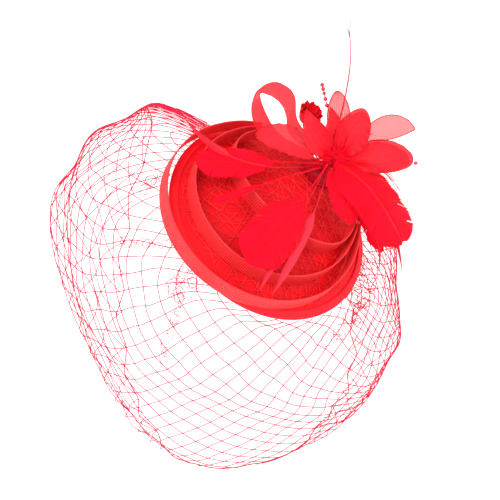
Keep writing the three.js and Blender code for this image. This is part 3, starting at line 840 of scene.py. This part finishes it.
# ---- petals, ribbon, rose and beads ------------------------------------------------------
def petal(name, node, angle, z, via, tip, width, bare=0.12, kind="round", face=TO_FRONT, cup=0.25,
          crinkle=0.5, mat=None, veins=0, layers=1, seed=1, dark_edge=0.45, base=4.6):
    blade = Blade(angle, z, via, tip, face)
    build, edges = Build(), Build()
    u = np.linspace(0.0, 1, 56)
    v = np.linspace(-1, 1, 33)
    uu, vv = np.meshgrid(u, v, indexing="ij")
    for layer in range(layers):
        size = 1 - 0.10 * layer
        half = np.maximum(size * width / 2 * outline(kind, np.clip(uu, 0.004, 0.996)),
                          base * (1 - smoothstep(uu, 0, 0.55)) + 0.1)
        ruffle = crinkle * np.abs(vv) ** 4 * np.sin(uu * 43 + seed + 2 * layer + 3 * vv)
        crease = 0.16 * np.sin(vv * 17 + 3 * np.sin(uu * 6 + seed)) * (1 - np.abs(vv))
        lift = cup * half * vv ** 2 + ruffle + crease - layer * (0.5 + 1.8 * np.sin(np.pi * uu))
        t = bare + (1 - bare) * uu * (1 - 0.05 * layer)
        points = blade.point(t, half * vv + 1.2 * layer * uu, lift)
        # Fine stripes, lighter and darker by turns and fading towards the tip: painted light and shade of
        # small pleats.
        painted_pleat_shade = 0.06 * np.sin(vv * 60) * (1 - uu)
        rim = np.maximum(np.abs(vv) ** 14, smoothstep(uu, 0.965, 0.995))
        # Each lower layer is tinted 0.12 darker: painted shade under the upper layer.
        build.grid(points, tint=0.95 + painted_pleat_shade - dark_edge * rim - 0.12 * layer)
        rim = np.concatenate([points[4:, 0], points[::-1, -1][:-4]])
        roll = (0.36 if mat else 0.20) + 0.05 * np.sin(np.arange(len(rim)) * 1.9)
        edges.tube(rim, roll, 5, tint=0.85)
        for k in range(veins):
            j = 2 + k * 28 // max(1, veins - 1)
            edges.tube(points[:, min(j, 30)], 0.12, 4, tint=0.7)
    edges.tube(blade.at(np.linspace(0, bare + 0.12, 14)), np.linspace(0.55, 0.25, 14), 6, tint=0.8)
    edge = edges.piece(name + "_edge", QUILL if mat else ORGANZA, (), "organza")
    obj = build.piece(name + "_cloth", mat or ORGANZA, node, "organza")


def make_petals():
    petal("petal_left", "petal_left", -145, 15, (-26, 46, 40.4), (-50, 12, 34), 27, face=(0, 0, 1),
          cup=-0.10, crinkle=0.5, seed=2, bare=0.2)
    petal("leaf_front", "leaf_front", 196, 25, (-25, 48, 42), (-41.5, 59, 43), 23, kind="pointed", cup=0.3,
          crinkle=0.08, seed=3, bare=0.04, layers=2, dark_edge=0.2)
    petal("leaf_back", "leaf_back", 154, 24, (-14, 66, 46), (-31, 72, 50), 19, kind="pointed", cup=0.3,
          crinkle=0.1, seed=4, bare=0.04)
    petal("petal_sheer_top", "petal_sheer_top", 120, 27, (-18, 76, 44), (-36, 78, 60), 17, mat=SHEER,
          veins=11, crinkle=0.2, seed=5, bare=0.2)
    petal("petal_round_top", "petal_round_top", 78, 27, (-3, 70, 45), (-13, 85, 61), 25, bare=0.10,
          layers=2, cup=0.2, crinkle=0.55, seed=6)
    petal("petal_sheer_right", "petal_sheer_right", 62, 25, (0, 94, 60), (23, 114, 58), 18, bare=0.30,
          kind="petal", mat=SHEER, cup=0.4, crinkle=0.3, seed=7, dark_edge=0.3, base=2.0)
    petal("petal_oval_right", "petal_oval_right", 40, 22, (17, 80, 48), (40, 98, 49), 25, bare=0.10,
          layers=2, cup=0.2, crinkle=0.55, seed=8)


RIBBON = [
    # the ribbon's back edge, then its front edge, from one foot round the loop to the other
    [(-15, 51, 13), (-13, 53, 17)],
    [(-46, 30, 19), (-42, 42, 22)],
    [(-63, 28, 27), (-58, 34, 34)],
    [(-73, 35.5, 34), (-70.5, 32, 45)],
    [(-75.3, 44.4, 38), (-68, 38.4, 44)],
    [(-72.8, 56, 40), (-62, 46, 40)],
    [(-64.9, 62.8, 40), (-55.8, 48.3, 38)],
    [(-54.8, 64.1, 38), (-49, 49, 34)],
    [(-40, 61, 26), (-37, 51, 21)],
    [(-14, 64, 20), (-14, 57, 16)],
]


def make_ribbon_loop():
    ends = np.array(RIBBON, float).reshape(len(RIBBON), 6)
    line = through(np.column_stack([np.arange(len(ends)), ends]), np.linspace(0, len(ends) - 1, 110))
    w = np.linspace(0, 1, 17)
    points = line[:, None, :3] * (1 - w)[None, :, None] + line[:, None, 3:] * w[None, :, None]
    n = unit(np.cross(np.gradient(points, axis=0), np.gradient(points, axis=1)))
    i = np.arange(len(line))[:, None]
    points = points + n * (0.8 * np.sin(np.pi * w) + 0.12 * np.sin(i * 0.55 + w * 6))[..., None]
    build, edges = Build(), Build()
    band = np.abs(2 * w - 1)
    tone = 0.97 - 0.14 * smoothstep(band, 0.80, 0.86) + 0.03 * np.sin(i * 1.7)
    build.grid(points, tint=tone + 0 * w)
    for j in (0, -1):
        edges.tube(points[:, j], 0.24, 5, tint=0.8)
    edge = edges.piece("ribbon_loop_edges", ORGANZA, (), "organza")
    obj = build.piece("ribbon_loop_cloth", ORGANZA, "ribbon_loop", "organza")
    middle = points[:, 8]
    length = np.linalg.norm(np.diff(middle, axis=0), axis=1).sum()


def make_rose():
    at = np.array([-38.8, 73.7, 27.5])
    for k, (name, node, r, waves) in enumerate((
            ("rose_inner", "rose_petals_inner", 4.4, 5), ("rose_middle", "rose_petals_middle", 6.4, 7),
            ("rose_outer", "rose_petals_outer", 8.4, 9))):
        build = Build()
        a = np.linspace(0, TAU, 121)[:, None]
        h = np.linspace(0, 1, 16)[None, :]
        foot, rim = -r - 0.2, 4.0
        radius = 2.3 + (r + 0.75 - 2.3) * h ** 0.6 + 0.7 * h ** 3 * np.sin(waves * a + k)
        radius = radius + 0.35 * h ** 2 * np.sin(3.1 * waves * a)
        z = foot + (rim - foot) * h ** 1.3 + 0.9 * h ** 4 * np.sin((waves + 2) * a + 1.3 * k)
        # The tint darkens each petal ring towards its foot, from 1.0 at the rim to 0.74: painted shade deep
        # inside the rose.
        build.grid(np.stack([radius * np.cos(a), radius * np.sin(a), z + 0 * a], -1) + at,
                   tint=0.74 + 0.26 * h ** 2 + 0 * a)
        obj = build.piece(name, ROSE, node, "rose_cloth")
    build = Build()
    a = np.linspace(0, 3.2 * TAU, 150)[:, None]
    h = np.linspace(0, 1, 8)[None, :]
    radius = 0.35 + 3.0 * a / (3.2 * TAU)
    build.grid(np.stack([radius * np.cos(a) * (0.6 + 0.4 * h), radius * np.sin(a) * (0.6 + 0.4 * h),
                         -4 + 8 * h - 0.25 * radius * h + 0 * a], -1) + at)
    build.piece("rose_heart", ROSE, "rose_core", "rose_cloth")
    build = Build()
    t = np.linspace(0, 1, 24)
    a = math.radians(150)
    path = bezier((HUB[0] + HUB[2] * math.cos(a), HUB[1] + HUB[2] * math.sin(a), 22), (at[0], at[1], 4),
                  (at[0], at[1], at[2] - 4.4), t)
    build.tube(path, 0.6 + 0.05 * np.sin(t * 60), 7)
    build.piece("rose_stalk", TAPE, "rose_stem", "stem_tape")


def make_beads():
    knots = np.array([(-5, 69.5, 25), (-14, 76, 33), (-30, 76, 42), (-47, 75, 56.5)], float)
    curve = through(np.column_stack([[0, 0.22, 0.52, 1], knots]), np.linspace(0, 1, 60))
    build = Build()
    build.tube(curve, 0.36, 6)
    build.piece("bead_stalk", TAPE, "bead_wire", "stem_tape")
    for i in range(5):
        lo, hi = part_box("bead_%d" % (i + 1))
        at = (np.array(lo) + np.array(hi)) / 2 * 1000
        facet_bead("glass_bead_%d" % (i + 1), at, 1.5 if i == 2 else 1.7, "bead_%d" % (i + 1), row)
    lo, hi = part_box("petal_bead")
    facet_bead("glass_bead_tip", (np.array(lo) + np.array(hi)) / 2 * 1000, 1.6, "petal_bead", row)


def facet_bead(name, at, r, node, to):
    build = Build()
    build.blob(np.asarray(at), r * 0.98, along=(0.1, 0.1, 1), stretch=0.9, rings=14, sides=22)
    build.piece(name, BEAD, node, "bead", to=to)


# ---- mount, stems and clip ---------------------------------------------------------------
def make_mount():
    build = Build()
    a = np.arange(150) * TAU / 150
    zig = 0.5 * (np.abs((a * 30 / TAU) % 1 - 0.5) * 4 - 1)
    rows = []
    for share, level in ((0.03, 1.7), (0.5, 1.65), (0.93, 1.7), (1.0, 1.9), (1.0, 3.0), (0.93, 3.15),
                         (0.5, 3.2), (0.03, 3.2)):
        r = 14 * share + (zig - 0.5 if share == 1.0 else 0)
        x, y = HUB[0] + r * np.cos(a), HUB[1] - 3 + r * np.sin(a)
        rows.append(np.stack([x, y, dome(np.hypot(x, y)) + level], -1))
    build.grid(np.stack(rows, 1), wrap_u=True, wrap_v=True)
    build.piece("flower_felt", LINING, "flower_mount", "felt_lining")

    foot, top = float(dome(HUB[1] - 4)) + 3.6, 30
    build = Build()
    for i in range(16):
        a0 = TAU * i / 16
        t = np.linspace(0, 1, 22)
        ring = 2.55 - 0.3 * t if i % 2 else 1.5 - 0.2 * t
        angle = a0 + 0.5 * t
        build.tube(np.stack([HUB[0] + ring * np.cos(angle), HUB[1] + ring * np.sin(angle),
                             foot + (top - foot) * t], 1), 0.72, 7)
    turns = 15
    a = np.linspace(0, TAU * turns, turns * 22)
    z = np.linspace(foot + 5, top - 6, len(a))
    build.tube(np.stack([HUB[0] + 3.35 * np.cos(a), HUB[1] + 3.35 * np.sin(a), z], 1), 0.32, 5)
    build.piece("stalks", TAPE, "stem_bundle", "stem_tape")
    build = Build()
    a = np.linspace(0, TAU * 5, 160)
    build.tube(np.stack([HUB[0] + 4.5 * np.cos(a), HUB[1] + 4.5 * np.sin(a),
                         np.linspace(8.3, 10.7, len(a))], 1), 0.30, 6)
    build.piece("tie_thread", THREAD, "binding_thread", "thread")


def make_clip():
    for node in ("clip_arched_arm", "clip_flat_arm", "clip_pin", "clip_spring", "rim_wire"):
        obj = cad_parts[node]
        for slot_number in range(len(obj.material_slots)):
            obj.material_slots[slot_number].material = STEEL
    build = Build()
    nx, ny = 52, 16
    x, y = np.meshgrid(np.linspace(-26, 26, nx), np.linspace(-7, 7, ny), indexing="ij")
    corner = np.minimum(1, ((np.abs(x) / 26) ** 8 + (np.abs(y) / 7) ** 8)) ** 0.125
    x, y = x * (1 - 0.03 * corner ** 8), y * (1 - 0.08 * corner ** 8)
    high = dome(np.hypot(x, y)) - DISC_T - 1.4
    low = 8.0 + 0 * x
    pile = 0.05 * np.sin(x * 5.1) * np.sin(y * 4.7)
    top, bottom = np.stack([x, y, high], -1), np.stack([x, y, low + pile], -1)
    build.grid(top[:, ::-1])
    build.grid(bottom)
    rim_t = np.concatenate([top[:, 0], top[-1, 1:], top[-2::-1, -1], top[0, -2:0:-1]])
    rim_b = np.concatenate([bottom[:, 0], bottom[-1, 1:], bottom[-2::-1, -1], bottom[0, -2:0:-1]])
    build.grid(np.stack([rim_b, (rim_b + rim_t) / 2, rim_t], 1), wrap_u=True)
    build.piece("clip_felt", LINING, "clip_pad", "felt_lining")


make_disc()
dish_net = make_disc_net()
make_veil()
strip_loop("strip_outer", "strip_loop_outer", -8, -9, 75, 75, 43, -226, (0, -0.07))
strip_loop("strip_middle", "strip_loop_middle", -7, -2, 62, 62, 39, -221, (0.09, 0))
strip_loop("strip_inner", "strip_loop_inner", -6, 18, 53, 39, 30, -211, (0.07, -0.04))
make_feathers()
make_petals()
make_ribbon_loop()
make_rose()
make_beads()
make_mount()
make_clip()


# ---- stage and light ---------------------------------------------------------------------
FLOOR_GAP, FLOOR_HALF = 0.12, 9  # the floor's distance under the veil, and half its side
WORLD_STRENGTH = 0.88
def make_stage():
    z = cad_box[0][2] - FLOOR_GAP
    mesh = bpy.data.meshes.new("floor")
    w = FLOOR_HALF
    mesh.from_pydata([(-w, -w, z), (w, -w, z), (w, w, z), (-w, w, z)], [], [(0, 1, 2, 3)])
    floor = bpy.data.objects.new("floor", mesh)
    pale = bpy.data.materials.new("pale_floor")
    pale.use_nodes = True
    shader = pale.node_tree.nodes["Principled BSDF"]
    shader.inputs["Base Color"].default_value = (0.95, 0.95, 0.95, 1)
    shader.inputs["Roughness"].default_value = 0.9
    shader.inputs["Emission Color"].default_value = (1, 1, 1, 1)
    shader.inputs["Emission Strength"].default_value = 0.35
    mesh.materials.append(pale)
    scene.collection.objects.link(floor)

    world = bpy.data.worlds.new("studio")
    world.use_nodes = True
    world.node_tree.nodes["Background"].inputs["Color"].default_value = (1, 1, 1, 1)
    world.node_tree.nodes["Background"].inputs["Strength"].default_value = WORLD_STRENGTH
    scene.world = world
    for name, place, size, power in (("key", (-0.7, -0.9, 1.5), 1.2, 22), ("fill", (1.3, -0.4, 0.9), 1.4, 9)):
        light = bpy.data.lights.new(name, "AREA")
        light.size, light.energy = size, power
        obj = bpy.data.objects.new(name, light)
        obj.location = place
        obj.rotation_euler = (-Vector(place)).to_track_quat("-Z", "Y").to_euler()
        scene.collection.objects.link(obj)


make_stage()
